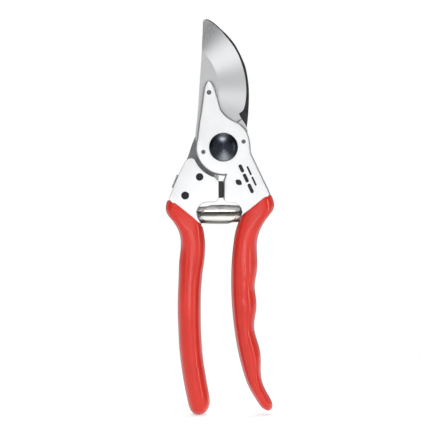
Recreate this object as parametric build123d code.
from build123d import *
import math
import os

# Bypass hand pruner, closed.  Millimetres, +Z up towards the tips, front face towards -Y,
# left is -X.  The origin is the centre of the pivot bolt's flat rear end, on the pivot axis.
# The right handle carries the blade in front; the left handle carries the hook behind it.

# ---- driving dimensions -------------------------------------------------
y_shear = -15.8          # plane where the blade slides past the hook
front_boss_t = 5.15      # front boss and finger of the blade casting
blade_t = 3.05
hook_t = 4.20
back_boss_t = 5.00       # rear boss of the hook casting
shear_gap = 0.10
edge_round = 1.2         # rounding of the castings' outlines
fit = 0.02               # gap round a fixed pin
run_clear = 0.05         # gap round a turning part
over = 1.0               # how far cutters overshoot a face

boss_r = 15.07           # both pivot bosses
relief_r = 16.90         # concentric relief in the opposite casting
blade_disc_r = 14.70
hook_disc_r = 14.80

bolt_r = 4.00
thread_r = 3.50
head_r = 7.80
head_h = 3.50
head_rim_h = 0.9         # part of the head below its dome
head_half_angle = math.radians(62)
bush_r = 5.60
washer_h = 1.0
nut_flats = 13.0
nut_h = 5.0
insert_r = 5.0           # groove of the nut insert
insert_depths = (1.5, 0.3)   # groove ends, measured forward from the nut's rear face

# x, z, radius
pin_places = [(-7.81, 29.60, 1.25), (-10.92, -2.57, 1.15), (10.87, 3.06, 1.15)]
upper_rivet = (-12.94, -16.05, 2.05)
lower_rivet = (-20.75, -26.10, 2.15)
strike_pin = (4.5, -21.5, 2.0)
strike_hole_depth = 3.0

gap_left, gap_right = -2.60, 0.0        # faces of the slot between the castings
bumper_z0, bumper_z1 = -27.30, -18.24
bumper_depth = 13.0
stem_r = 1.6
stem_length = 4.0

spring_z = -36.31
spring_x0, spring_x1 = -13.95, 9.75
spring_r = 5.40
strip_t = 0.60
strip_gap = 0.70
strip_half_end, strip_half_mid = 3.00, 10.30     # half width of the strip
spring_crown = 0.50      # fall of the strip radius towards the spring's ends
turns_each_way = 1.6
pocket_r = 5.75
pocket_end_gap = 0.25
seat_r = 2.10
seat_length = 4.6

latch_drop = 9.5         # degrees the lever leans below +X
latch_t = 2.5
latch_gap = 0.5          # space between the hook casting and the latch
pad_rise = 1.6
saw_teeth = 7
saw_start, saw_end = (-25.15, -14.60), (-28.05, -21.60)
tooth_out = (-0.925 * 0.62, 0.38 * 0.62)         # step from the root line to a tooth tip

# layers along Y, front to back
y_front = y_shear - shear_gap - blade_t - front_boss_t
y_blade_front = y_front + front_boss_t
y_blade_back = y_blade_front + blade_t
y_hook_back = y_shear + hook_t
y_back = y_hook_back + back_boss_t
y_mid = (y_front + y_back) / 2
y_nut = y_back + washer_h
y_nut_back = y_nut + nut_h
y_latch_front = y_back + latch_gap
y_latch_back = y_latch_front + latch_t

spring_mid = (spring_x0 + spring_x1) / 2
spring_half = (spring_x1 - spring_x0) / 2
bumper_mid = (bumper_z0 + bumper_z1) / 2
y_stem = y_mid - 4.4

# ---- outlines in the XZ plane, as (x, z) --------------------------------
# blade casting: right side from the finger tip down, and the finger's left side
casting_right = [
    (-7.85, 36.05), (-6.50, 35.55), (-5.45, 34.00), (-4.45, 31.30), (-3.35, 28.10),
    (-2.40, 24.35), (-1.42, 21.08), (-0.11, 19.00), (1.64, 17.09), (4.04, 15.34),
    (6.50, 14.03), (8.79, 12.89), (10.54, 11.36), (12.12, 9.50), (13.25, 7.10),
    (14.05, 4.40), (14.45, 1.50), (14.60, -1.20), (15.18, -3.66), (16.33, -6.12),
    (17.36, -8.24), (19.90, -13.60), (22.40, -18.80), (24.68, -23.59), (26.20, -27.20)]
finger_left = [
    (-7.85, 36.05), (-9.00, 35.55), (-9.85, 34.40), (-10.45, 32.70), (-10.86, 30.70),
    (-11.30, 26.92), (-11.90, 22.55), (-12.50, 18.18), (-13.21, 13.81), (-13.80, 9.45)]
blade_edge = [
    (-10.80, 69.72), (-9.70, 70.02), (-8.10, 69.42), (-6.45, 68.38), (-4.80, 67.15),
    (-2.25, 64.95), (0.45, 61.85), (3.06, 58.64), (5.57, 55.20), (7.75, 51.43),
    (9.34, 47.67), (10.59, 43.90), (11.52, 40.40), (12.15, 36.60), (12.45, 32.50),
    (12.40, 28.40), (12.00, 24.80), (11.25, 21.60), (10.40, 20.05), (9.39, 19.38)]
blade_spine = [
    (-14.55, 2.10), (-15.20, 5.40), (-15.10, 9.00), (-14.74, 11.90), (-14.41, 15.18),
    (-13.92, 20.37), (-13.43, 26.92), (-12.94, 35.65), (-12.34, 43.57),
    (-11.90, 50.94), (-11.58, 57.77), (-11.30, 64.32), (-11.18, 68.90)]
blade_heel = [(9.39, 16.70), (10.60, 14.60), (12.00, 12.40), (12.86, 7.10)]
hook_right = [
    (-9.28, 70.38), (-6.93, 69.40), (-5.41, 68.41), (-2.84, 66.23), (-0.49, 64.05),
    (1.75, 61.86), (3.71, 59.68), (5.46, 57.49), (8.14, 53.13), (10.26, 48.76),
    (11.96, 44.39), (12.94, 40.02), (13.60, 35.65), (13.92, 31.29), (13.95, 26.92),
    (13.81, 22.55), (13.54, 18.18), (13.10, 13.81), (12.56, 9.45)]
hook_left = [
    (-15.29, 6.44), (-12.60, 9.60), (-7.20, 14.20), (-2.30, 19.40), (0.90, 25.20),
    (2.90, 32.00), (3.20, 40.00), (1.90, 48.00), (-1.20, 56.00), (-5.60, 63.60),
    (-9.95, 69.80)]
hook_shoulder = [(-15.29, 6.44), (-16.76, 2.89), (-18.24, -1.47)]
tang_edge = [
    (-18.24, -1.47), (-19.80, -5.90), (-21.74, -10.34), (-24.09, -15.25), (-25.45, -18.37),
    (-26.98, -22.02), (-28.45, -26.10)]
# hook casting: left side below the boss, and the upper edge of its front layer
casting_left = [
    (-15.75, 0.60), (-17.20, -2.10), (-18.80, -4.70), (-20.45, -7.35), (-22.06, -10.21),
    (-24.41, -15.12), (-25.77, -18.24), (-27.30, -21.89), (-28.90, -26.20), (-30.20, -30.00)]
front_layer_top = [
    (-14.80, -7.30), (-15.70, -6.60), (-16.70, -6.05), (-17.80, -5.95), (-19.10, -6.30),
    (-20.30, -7.25), (-21.20, -8.60), (-22.60, -10.90)]
# inner sides of the castings beside the spring
pocket_right = [
    (0.0, -27.41), (1.09, -29.16), (4.42, -29.76), (7.81, -30.90), (9.61, -32.71),
    (10.26, -34.73), (9.90, -36.60), (9.20, -38.00), (8.30, -40.20)]
pocket_left = [
    (gap_left, -27.41), (-4.20, -29.37), (-7.59, -29.70), (-10.97, -30.19), (-13.70, -32.71),
    (-14.52, -34.94), (-14.20, -37.00), (-13.30, -39.00), (-11.80, -42.20)]
# dipping lines where the sleeves start
dip_left = [
    (-33.50, -25.60), (-28.77, -28.77), (-26.59, -30.96), (-23.70, -33.14),
    (-21.02, -35.33), (-18.07, -37.51), (-14.85, -39.69), (-11.74, -41.77), (-8.00, -44.30)]
dip_right = [
    (29.50, -21.90), (24.90, -25.50), (21.08, -28.77), (17.85, -30.96),
    (14.74, -33.14), (11.68, -35.33), (9.39, -37.51), (5.50, -41.40)]
# latch lever before it is leaned, about its rivet: under side, and the rest of the upper side
lever_under = [
    (0.0, -3.1), (7.5, -2.4), (11.5, -1.5), (14.5, -0.3), (16.6, 0.9), (18.1, 2.0), (20.7, 2.45),
    (22.2, 1.3), (23.3, 0.8), (25.5, 0.6), (27.8, 0.35), (29.3, 0.0), (30.9, -0.2)]
lever_upper = [
    (26.5, 2.55), (25.25, 2.3), (24.1, 2.5), (23.2, 3.3), (22.7, 4.6), (21.5, 5.6), (18.5, 5.7),
    (14.0, 5.0), (8.0, 4.2), (0.0, 3.6)]

# grip sections: (z, x left, x right, depth along Y)
grip_left = [
    (-24.50, -27.60, -15.50, 19.4), (-27.50, -29.05, -14.90, 19.8),
    (-30.30, -31.00, -14.30, 20.2), (-33.14, -31.40, -13.70, 20.3),
    (-36.40, -30.30, -13.00, 20.0), (-39.69, -27.74, -12.30, 19.5),
    (-44.06, -24.95, -11.15, 19.0), (-49.50, -23.35, -10.25, 18.7),
    (-55.50, -23.45, -9.98, 18.5), (-63.00, -24.20, -10.65, 18.4),
    (-72.45, -24.52, -11.85, 18.3), (-82.00, -24.85, -12.38, 18.2),
    (-92.11, -24.84, -12.45, 18.0), (-103.00, -24.36, -11.95, 17.8),
    (-111.77, -23.75, -11.63, 17.6), (-120.50, -22.75, -10.35, 17.4),
    (-128.50, -21.45, -8.85, 17.2), (-134.80, -20.20, -7.80, 16.6),
    (-139.30, -19.20, -7.50, 15.2), (-142.40, -18.15, -8.45, 12.6),
    (-144.55, -16.55, -10.60, 8.4), (-145.60, -14.70, -12.50, 3.0)]
grip_right = [
    (-21.50, 12.20, 22.90, 19.4), (-24.50, 12.60, 24.60, 19.8),
    (-27.50, 12.20, 26.65, 20.2), (-30.96, 11.50, 27.63, 20.3),
    (-34.20, 10.60, 26.80, 20.0), (-37.51, 9.50, 24.41, 19.5),
    (-41.00, 8.05, 21.90, 19.2), (-45.00, 6.75, 19.90, 18.9),
    (-50.61, 5.75, 18.35, 18.6), (-57.17, 4.97, 18.28, 18.5),
    (-64.50, 4.42, 18.46, 18.4), (-70.20, 4.26, 17.75, 18.3),
    (-76.00, 4.28, 17.05, 18.2), (-82.00, 4.45, 17.80, 18.1),
    (-87.50, 4.85, 17.90, 18.0), (-93.00, 5.30, 16.98, 17.9),
    (-98.66, 5.90, 16.82, 17.8), (-105.21, 6.99, 18.60, 17.7),
    (-111.77, 8.14, 20.26, 17.6), (-120.50, 10.35, 20.31, 17.4),
    (-127.00, 12.25, 20.95, 17.2), (-133.00, 15.00, 23.50, 16.8),
    (-137.60, 17.90, 26.20, 15.4), (-140.60, 20.00, 26.82, 12.6),
    (-142.60, 22.30, 26.10, 8.4), (-143.45, 23.90, 25.00, 3.0)]


# ---- helpers ------------------------------------------------------------
def slab(face, y0, y1):
    """An (x, z) face made solid from y0 back to y1."""
    return extrude(Plane.XZ.offset(-y1) * face, amount=y1 - y0)


def rod(x, z, r, y0, y1):
    return slab(Pos(x, z) * Circle(r), y0, y1)


def hole(x, z, r, y0, y1):
    """Cutter for a through hole, overshooting both faces."""
    return rod(x, z, r, y0 - over, y1 + over)


def rod_x(x, y, z, r, length):
    """Cylinder along X, starting at x."""
    return extrude(Pos(x, 0, 0) * (Plane.YZ * (Pos(y, z) * Circle(r))), amount=length)


def turned(x, z, *profile):
    """Revolve (radius, y) points about the line through (x, z) parallel to Y."""
    return Pos(x, 0, z) * revolve(poly(*profile), Axis.Y)


def poly(*points):
    return make_face(Polyline(*points, close=True))


def region(*runs):
    """Closed face from runs: a list of points is a smooth curve, a tuple of three
    points is an arc, a bare point is a corner; gaps are closed with lines."""
    edges, last, first = [], None, None
    for run in runs:
        is_corner = isinstance(run[0], (int, float))
        start, end = (run, run) if is_corner else (run[0], run[-1])
        if last is not None and math.dist(last, start) > 1e-6:
            edges.append(Line(last, start))
        if isinstance(run, list):
            edges.append(Spline(*run))
        elif not is_corner:
            edges.append(ThreePointArc(*run))
        last = end
        first = first or start
    if math.dist(last, first) > 1e-6:
        edges.append(Line(last, first))
    return make_face(edges)


def on_circle(r, degrees):
    return (r * math.cos(math.radians(degrees)), r * math.sin(math.radians(degrees)))


def half_above(z):
    """Broad rectangle covering everything above z."""
    return poly((-40, z), (-40, 60), (40, 60), (40, z))


def above_dip(dip, x_inner, x_outer):
    """Block above a dip line, which runs from the outer side of a handle inwards."""
    z_low = dip[-1][1]
    return slab(region(dip, (x_inner, z_low), (x_inner, 60.0), (x_outer, 60.0)), -40, 10)


def one(shape):
    """The largest solid of a result."""
    return max(shape.solids(), key=lambda s: s.volume)


def round_face(solid, y, radius, wanted=lambda centre: True):
    """Round the outer outline of the largest flat face at depth y."""
    face = max((f for f in solid.faces().filter_by(Axis.Y)
                if abs(f.center().Y - y) < 1e-3), key=lambda f: f.area)
    # The full radius may not fit the outline, so smaller ones are tried in turn;
    # the solid stays sharp if none works.
    for r in (radius, radius * 0.75, radius * 0.5, radius * 0.3):
        try:
            done = solid.fillet(r, [e for e in face.outer_wire().edges() if wanted(e.center())])
            if done.is_valid:
                return done
        except Exception:
            pass
    return solid


def grip_body(rows, inset_x=0.0, inset_y=0.0, corner_share=0.46, square_top=False):
    """Loft of rounded rectangles; square_top limits the corner radii near the top."""
    faces = []
    for z, x_left, x_right, section_depth in rows:
        width = x_right - x_left - 2 * inset_x
        depth = section_depth - 2 * inset_y
        corner = corner_share * min(width, depth)
        if square_top and z > -52:
            corner = min(corner, 3.6 + 2.2 * max(0.0, min(1.0, (-30.0 - z) / 20.0)))
        faces.append(Pos((x_left + x_right) / 2, y_mid, z)
                     * RectangleRounded(width, depth, corner))
    return loft(faces)


def grip_core(rows, z_low, z_high):
    """Casting's shank inside a sleeve."""
    inner_rows = [row for row in rows if z_low < row[0] < z_high]
    return grip_body(inner_rows, inset_x=3.0, inset_y=4.2, corner_share=0.3)


# ---- bodies shared by castings and sleeves ------------------------------
above_left = above_dip(dip_left, 40.0, -40.0)
above_right = above_dip(dip_right, -30.0, 40.0)
core_left = grip_core(grip_left, -133, -32)
core_right = grip_core(grip_right, -131, -29)
spring_pocket = rod_x(spring_x0 - pocket_end_gap, y_mid, spring_z, pocket_r,
                      2 * spring_half + 2 * pocket_end_gap)
seat_left = rod_x(spring_x0 - 1.6, y_mid, spring_z, seat_r, seat_length)
seat_right = rod_x(spring_x1 - 3.0, y_mid, spring_z, seat_r, seat_length)
tang = region(tang_edge, (-28.1, -27.9), (-20.5, -31.2), (-15.2, -26.0), (-7.2, -18.6),
              (-4.6, -14.05), (0.0, 0.0))


# ---- castings and sleeves -----------------------------------------------
def make_blade_handle():
    boss_low, boss_top = on_circle(boss_r, 274.4), on_circle(boss_r, 161.8)
    outline = region(casting_right, (10.0, -46.0), pocket_right[::-1], (gap_right, -17.60),
                     (boss_low, on_circle(boss_r, 220.0), boss_top),
                     [boss_top] + finger_left[::-1])

    def outside_pocket(centre):
        return centre.Z > -28.5 or centre.X > 15

    body = round_face(one(slab(outline, y_front, y_back)), y_front, edge_round, outside_pocket)
    # room for the blade, then for the hook and the hook casting's boss
    body -= slab(Circle(boss_r + 0.15) + half_above(-1), y_blade_front, y_blade_back + 0.001)
    body -= slab(Circle(relief_r) + half_above(-4), y_blade_back, y_back + over)
    body = round_face(one(body), y_back, edge_round, outside_pocket)
    body = one(body & above_right)
    body = one(body + core_right)
    body -= hole(0, 0, bush_r, y_front, y_blade_front)
    for x, z, r in pin_places:
        body -= hole(x, z, r + fit, y_front, y_blade_front)
    x, z, r = strike_pin
    body -= rod(x, z, r + fit, y_back - strike_hole_depth, y_back + over)
    body -= spring_pocket
    return one(body + seat_right)


def make_hook_handle():
    boss_top, boss_low = on_circle(boss_r, 168.0), on_circle(boss_r, 260.07)
    outline = region([boss_top] + casting_left, (-13.0, -47.0), pocket_left[::-1],
                     (gap_left, -18.90), (boss_low, on_circle(boss_r, 34.0), boss_top))
    top_cut = region(front_layer_top, (-40.0, -10.9), (-40.0, 20.0), (-10.0, 20.0), (-10.0, -5.0))
    side_cut = poly((-2.0, -19.4), (-5.2, -15.2), (0.0, -12.0), (0.0, -19.4))
    tang_slot = tang + poly((-24.0, -20.0), (-28.1, -27.9), (-40.0, -27.9), (-40.0, 0.0),
                            (-16.0, 0.0), (-18.0, -10.0))
    front_relief = slab(Circle(relief_r) + top_cut + side_cut, y_front - over, y_hook_back)
    body = slab(outline, y_front, y_back) - front_relief
    body = round_face(one(body), y_front, edge_round)
    body = round_face(body, y_back, edge_round)
    body = one(body & above_left)
    body = one(body + core_left)
    body -= slab(tang_slot, y_shear, y_hook_back)
    body -= hole(0, 0, bolt_r + run_clear, y_hook_back, y_back)
    for x, z, r in (upper_rivet, lower_rivet):
        body -= hole(x, z, r + fit, y_front, y_back)
    body -= spring_pocket
    body = one(body + seat_left)
    body -= rod_x(-5.7, y_stem, bumper_mid, stem_r + fit, stem_length)
    return one(body)


def make_sleeve(rows, above, core, seat):
    return one(grip_body(rows, square_top=True) - above - core - spring_pocket - seat)


# ---- cutting blade and hook ---------------------------------------------
def make_cutting_blade():
    outline = region(blade_spine, blade_edge, (8.46, 18.51), blade_heel, (0.0, 0.0))
    blade = one(slab(outline + Circle(blade_disc_r), y_blade_front, y_blade_back))

    # The front is ground away outside a cone, leaving a thin land at the shear plane.
    cone_x, cone_z = -31.0, 31.44
    front_r, edge_r, land = 28.5, 44.80, 0.18
    y_start = y_blade_front - 0.01
    unground = Plane((cone_x, y_start, cone_z), x_dir=(1, 0, 0), z_dir=(0, 1, 0)) * \
        Cone(front_r, edge_r, blade_t - land + 0.01,
             align=(Align.CENTER, Align.CENTER, Align.MIN))
    grind = slab(poly((-20.0, 18.55), (-0.6, 18.55), (1.2, 16.6), (3.7, 14.8), (6.9, 13.1),
                      (11.5, 16.3), (40.0, 16.3), (40.0, 90.0), (-20.0, 90.0)),
                 y_start, y_blade_back - land)
    blade -= (grind - unground)
    blade -= hole(0, 0, bush_r, y_blade_front, y_blade_back)
    for x, z, r in pin_places:
        blade -= hole(x, z, r + fit, y_blade_front, y_blade_back)
    return one(blade)


def make_hook_blade():
    outline = region(hook_left[::-1], hook_shoulder, (0.0, 0.0), hook_right[::-1])
    hook = one(slab(outline, y_shear, y_hook_back) + slab(tang, y_shear, y_hook_back)
               + slab(Circle(hook_disc_r), y_shear, y_hook_back))
    rim = [e for e in hook.edges() if abs(e.center().Y - y_hook_back) < 1e-3
           and e.center().Z > 20 and e.center().X > 5]
    # The chamfer along the curved rear rim can fail; the rim then stays square.
    try:
        hook = hook.chamfer(1.1, None, rim)
    except Exception:
        pass
    hook -= hole(0, 0, bolt_r + run_clear, y_shear, y_hook_back)
    for x, z, r in (upper_rivet, lower_rivet):
        hook -= hole(x, z, r + fit, y_shear, y_hook_back)
    return one(hook)


# ---- turned parts on the pivot and fasteners ----------------------------
def make_pivot_bolt():
    y_seat = y_front - 0.05
    dome_r, dome_h = head_r - 0.35, head_h - head_rim_h
    rim_cos, rim_sin = math.cos(head_half_angle), math.sin(head_half_angle)
    dome = [(0.0, y_seat - head_h)]
    for i in range(1, 13):
        angle = i / 12 * head_half_angle
        rise = dome_h * (math.cos(angle) - rim_cos) / (1 - rim_cos)
        dome.append((dome_r * math.sin(angle) / rim_sin, y_seat - head_rim_h - rise))
    return turned(0, 0, *dome, (head_r, y_seat - 0.6), (head_r, y_seat), (bolt_r, y_seat),
                  (bolt_r, y_nut - 0.4), (thread_r, y_nut), (thread_r, -0.35),
                  (thread_r - 0.35, 0.0), (0.0, 0.0))


def make_ring(x, z, r_in, r_out, y0, y1):
    return turned(x, z, (r_in, y0), (r_out, y0), (r_out, y1), (r_in, y1))


def make_spring_washer():
    return turned(0, 0, (bolt_r + 0.1, y_back + 0.35), (7.6, y_back), (7.75, y_back + 0.3),
                  (7.6, y_back + 0.65), (bolt_r + 0.1, y_back + washer_h))


def make_pivot_nut():
    hexagon = RegularPolygon(nut_flats / 2, 6, major_radius=False)
    nut = slab(hexagon, y_nut, y_nut_back) & turned(
        0, 0, (0.0, y_nut - over), (6.6, y_nut - 0.01), (7.6, y_nut + 0.55),
        (7.6, y_nut_back - 1.9), (6.3, y_nut_back - 0.9), (6.1, y_nut_back), (0.0, y_nut_back))
    nut -= hole(0, 0, thread_r + fit, y_nut, y_nut_back)
    nut -= rod(0, 0, insert_r, y_nut_back - insert_depths[0], y_nut_back - insert_depths[1])
    return one(nut)


def make_blade_pins():
    pins = []
    for x, z, r in pin_places:
        pin = turned(x, z, (0, y_front - 0.2), (r * 0.6, y_front - 0.16), (r, y_front + 0.05),
                     (r, y_blade_back - 0.05), (0, y_blade_back - 0.05))
        pins.append(pin.solids()[0])
    return Compound(pins)


def rivet_front(r):
    """Profile of a rivet's low front head."""
    return [(0, y_front - 0.25), (r * 0.65, y_front - 0.2), (r, y_front + 0.05)]


def make_hook_rivet():
    x, z, r = upper_rivet
    return turned(x, z, *rivet_front(r), (r, y_back - 0.05), (r * 0.65, y_back + 0.2),
                  (0, y_back + 0.25))


def make_latch_rivet():
    x, z, r = lower_rivet
    y_head = y_latch_back + 0.1
    return turned(x, z, *rivet_front(r), (r, y_head), (3.7, y_head), (3.7, y_head + 0.5),
                  (2.6, y_head + 1.2), (0, y_head + 1.4))


def make_strike_pin():
    x, z, r = strike_pin
    y_start = y_back - strike_hole_depth + 0.05
    return turned(x, z, (0, y_start), (r, y_start), (r, y_latch_back - 0.1),
                  (r - 0.5, y_latch_back + 0.4), (0, y_latch_back + 0.4))


# ---- thumb latch --------------------------------------------------------
def make_thumb_latch():
    x, z, r = lower_rivet
    # end of the lever, curved about the rivet where it wraps the strike pin
    wrap_outer = [on_circle(31.0, a) for a in (4.0, 8.0, 12.0)]
    wrap_inner = [on_circle(27.82, a) for a in (14.0, 10.5, 7.0)]
    arm = poly(*lever_under, *wrap_outer, *wrap_inner, *lever_upper)
    lever = Pos(x, z) * (Rot(0, 0, -latch_drop) * (Circle(4.6) + arm))

    # saw-toothed left edge of the thumb pad
    step_x = (saw_end[0] - saw_start[0]) / saw_teeth
    step_z = (saw_end[1] - saw_start[1]) / saw_teeth
    saw = []
    for i in range(saw_teeth):
        root_x, root_z = saw_start[0] + step_x * i, saw_start[1] + step_z * i
        saw.append((root_x, root_z))
        for share in (0.25, 0.62):
            saw.append((root_x + step_x * share + tooth_out[0],
                        root_z + step_z * share + tooth_out[1]))
    saw.append(saw_end)
    pad = poly(*saw, (-24.2, -24.2), (-17.6, -23.4), (-19.2, -19.4), (-22.3, -14.8))
    pad_top = poly(*saw, (-27.1, -22.3), (-24.6, -20.9), (-21.6, -18.4), (-22.9, -14.7))

    y_pad = y_latch_back + pad_rise
    raised = round_face(one(slab(pad_top, y_latch_front, y_pad)), y_pad, 0.35)
    plate = round_face(one(slab(lever + pad, y_latch_front, y_latch_back)), y_latch_back, 0.5)
    latch = one(plate + raised)
    latch -= hole(x, z, r + run_clear, y_latch_front, y_pad)
    return one(latch)


# ---- bumper between the castings ----------------------------------------
def make_stop_bumper():
    outline = RectangleRounded(bumper_depth, bumper_z1 - bumper_z0, 1.3)
    bumper = extrude(Plane.YZ.offset(gap_left) * (Pos(y_mid, bumper_mid) * outline),
                     amount=gap_right - gap_left - 0.05)
    right_face = max(bumper.faces().filter_by(Axis.X), key=lambda f: f.center().X)
    bumper = fillet(right_face.outer_wire().edges(), 0.6)
    bumper += rod_x(-5.6, y_stem, bumper_mid, stem_r, stem_length)
    return one(bumper)


# ---- double volute spring -----------------------------------------------
def make_volute_spring():
    """Flat strip wound about X, widest in its middle turn at the front; each
    further turn lies inside the last and nearer to an end."""
    intervals = 50
    stations = []        # turn, x of the strip's middle, half width, outer radius
    for i in range(intervals + 1):
        turn = -turns_each_way + 2 * turns_each_way * i / intervals
        widening = math.exp(-(abs(turn) / 0.42) ** 2)
        half_width = strip_half_end + (strip_half_mid - strip_half_end) * widening
        shift = (spring_half - half_width) * math.tanh(abs(turn) / 0.06)
        r = spring_r - (strip_t + strip_gap) * (math.sqrt(turn * turn + 0.01) - 0.1)
        stations.append((turn, spring_mid + math.copysign(shift, turn), half_width, r))

    def edge_curve(side, depth):
        points = []
        for turn, x_middle, half_width, outer_r in stations:
            x = x_middle + side * half_width
            r = outer_r - depth - spring_crown * (abs(x - spring_mid) / spring_half) ** 2.5
            angle = 2 * math.pi * turn
            points.append(Vector(x, y_mid - r * math.cos(angle),
                                 spring_z + r * math.sin(angle)))
        return Edge.make_spline(points)

    outer_left, outer_right = edge_curve(-1, 0.0), edge_curve(1, 0.0)
    inner_left, inner_right = edge_curve(-1, strip_t), edge_curve(1, strip_t)
    faces = [Face.make_surface_from_curves(a, b) for a, b in (
        (inner_left, inner_right), (outer_left, outer_right),
        (inner_left, outer_left), (inner_right, outer_right))]
    for end in (0, 1):
        corners = [c @ end for c in (inner_left, inner_right, outer_right, outer_left)]
        faces.append(Face(Wire.make_polygon(corners, close=True)))
    return Solid(Shell(faces))


# ---- write the parts ----------------------------------------------------
rivet_x, rivet_z, rivet_r = lower_rivet
parts = {
    "hook_handle": make_hook_handle(),
    "hook_grip": make_sleeve(grip_left, above_left, core_left, seat_left),
    "hook_blade": make_hook_blade(),
    "hook_rivet": make_hook_rivet(),
    "pivot_bolt": make_pivot_bolt(),
    "pivot_spring_washer": make_spring_washer(),
    "pivot_nut": make_pivot_nut(),
    "pivot_nut_insert": make_ring(0, 0, thread_r + fit, insert_r - fit,
                                  y_nut_back - insert_depths[0] + fit,
                                  y_nut_back - insert_depths[1] - fit),
    "stop_bumper": make_stop_bumper(),
    "volute_spring": make_volute_spring(),
    "latch_rivet": make_latch_rivet(),
    "latch_wave_washer": make_ring(rivet_x, rivet_z, rivet_r + 0.1, 4.3, y_back, y_back + 0.45),
    "thumb_latch": make_thumb_latch(),
    "blade_handle": make_blade_handle(),
    "blade_grip": make_sleeve(grip_right, above_right, core_right, seat_right),
    "cutting_blade": make_cutting_blade(),
    "blade_pins": make_blade_pins(),
    "pivot_bush": make_ring(0, 0, bolt_r + run_clear, bush_r - fit,
                            y_front + 0.1, y_blade_back - 0.05),
    "latch_strike_pin": make_strike_pin(),
}
os.makedirs("parts", exist_ok=True)
for name, shape in parts.items():
    export_step(shape, f"parts/{name}.step")
